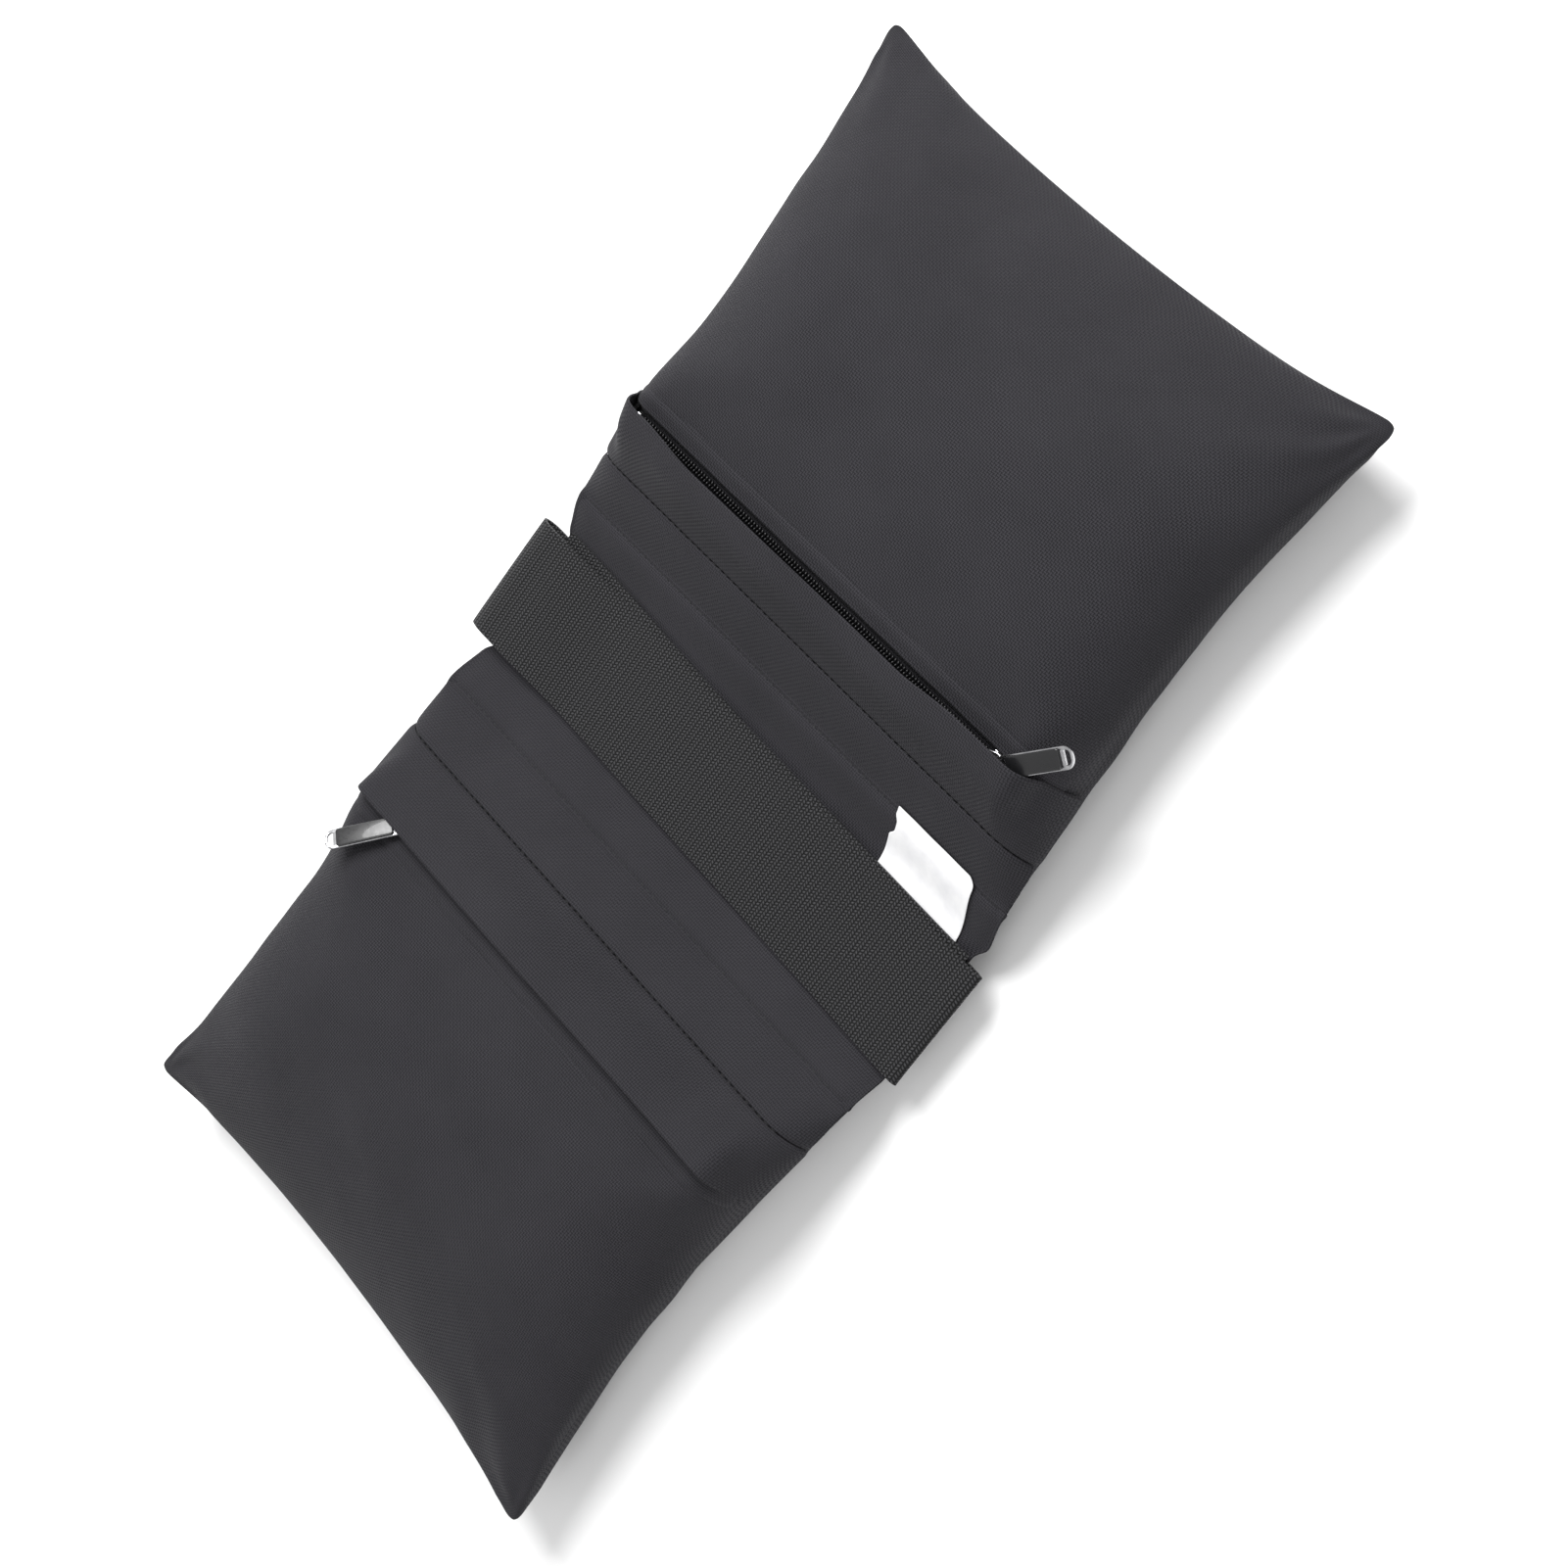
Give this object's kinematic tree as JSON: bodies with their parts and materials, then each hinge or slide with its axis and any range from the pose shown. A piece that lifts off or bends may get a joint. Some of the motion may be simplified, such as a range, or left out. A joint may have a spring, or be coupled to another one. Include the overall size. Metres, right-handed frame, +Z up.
{
  "type": "saddle sandbag",
  "caption": "Saddle sandbag lying flat: two zipped, filled cloth pouches joined by a sewn saddle with a webbing handle and a blank label.",
  "frame": {"origin": "middle of the bag, on the surface it lies on", "axes": "+X across the bag, +Y along it through the two pouches, +Z up"},
  "size_m": [0.251, 0.5, 0.0576],
  "materials": {
    "cloth": "charcoal oxford weave, coated inside",
    "webbing": "coarse charcoal webbing",
    "zip_tape": "black knitted zip tape",
    "zip_coil": "black moulded coil",
    "nickel": "satin nickel plate",
    "dark_enamel": "dark enamel",
    "label": "white woven label, blank",
    "liner_film": "milky liner film",
    "sand": "dry sand"
  },
  "bodies": {
    "saddle": {"saddle_top": "cloth", "saddle_back": "cloth", "base_webbing": "webbing", "bight_left": "webbing", "bight_right": "webbing", "handle_leg_left": "webbing", "handle_leg_right": "webbing"},
    "handle": {"handle_grip": "webbing"},
    "label": {"label": "label"},
    "pouch_a": {"inner_panel_a": "cloth", "front_panel_a": "cloth", "back_panel_a": "cloth", "inner_zip_tape_a": "zip_tape", "outer_zip_tape_a": "zip_tape", "zip_chain_a": "zip_coil", "zip_top_stop_a": "nickel", "zip_bottom_stop_a": "nickel", "liner_bag_a": "liner_film", "sand_fill_a": "sand"},
    "flap_a": {"storm_flap_a": "cloth"},
    "slider_a": {"slider_body_a": "nickel", "slider_bridge_a": "nickel"},
    "pull_a": {"pull_tab_a": "nickel", "pull_inlay_a": "dark_enamel"},
    "pouch_b": {"inner_panel_b": "cloth", "front_panel_b": "cloth", "back_panel_b": "cloth", "inner_zip_tape_b": "zip_tape", "outer_zip_tape_b": "zip_tape", "zip_chain_b": "zip_coil", "zip_top_stop_b": "nickel", "zip_bottom_stop_b": "nickel", "liner_bag_b": "liner_film", "sand_fill_b": "sand"},
    "flap_b": {"storm_flap_b": "cloth"},
    "slider_b": {"slider_body_b": "nickel", "slider_bridge_b": "nickel"},
    "pull_b": {"pull_tab_b": "nickel", "pull_inlay_b": "dark_enamel"}
  },
  "joints": [
    {"name": "pouch_fold_a", "type": "hinge", "parent": "saddle", "child": "pouch_a", "pos_m": [0, 0.047, 0.0189], "axis": [1, 0, 0], "range_deg": [-85, 20]},
    {"name": "flap_lift_a", "type": "hinge", "parent": "pouch_a", "child": "flap_a", "pos_m": [0, 0.06526, 0.03447], "axis": [1, 0, 0], "range_deg": [0, 120]},
    {"name": "slider_run_a", "type": "slide", "parent": "pouch_a", "child": "slider_a", "axis": [-1, 0, 0], "range_m": [0, 0.189]},
    {"name": "pull_swing_a", "type": "hinge", "parent": "slider_a", "child": "pull_a", "pos_m": [0.095, 0.088, 0.04365], "axis": [0, -0.3616, 0.9323], "range_deg": [-3, 12]},
    {"name": "pouch_fold_b", "type": "hinge", "parent": "saddle", "child": "pouch_b", "pos_m": [0, -0.047, 0.0189], "axis": [-1, 0, 0], "range_deg": [-85, 20]},
    {"name": "flap_lift_b", "type": "hinge", "parent": "pouch_b", "child": "flap_b", "pos_m": [0, -0.06526, 0.03447], "axis": [-1, 0, 0], "range_deg": [0, 120]},
    {"name": "slider_run_b", "type": "slide", "parent": "pouch_b", "child": "slider_b", "axis": [1, 0, 0], "range_m": [-0.015, 0.174]},
    {"name": "pull_swing_b", "type": "hinge", "parent": "slider_b", "child": "pull_b", "pos_m": [-0.08, -0.088, 0.04365], "axis": [0, 0.3616, 0.9323], "range_deg": [-8, 4]},
    {"name": "handle_lift", "type": "slide", "parent": "saddle", "child": "handle", "axis": [0, 0, 1], "range_m": [0, 0.055], "deforming": ["handle_leg_left", "handle_leg_right"]},
    {"name": "label_lift", "type": "hinge", "parent": "saddle", "child": "label", "pos_m": [0.0865, 0.0256, 0.0123], "axis": [1, 0, 0], "range_deg": [0, 70]}
  ]
}
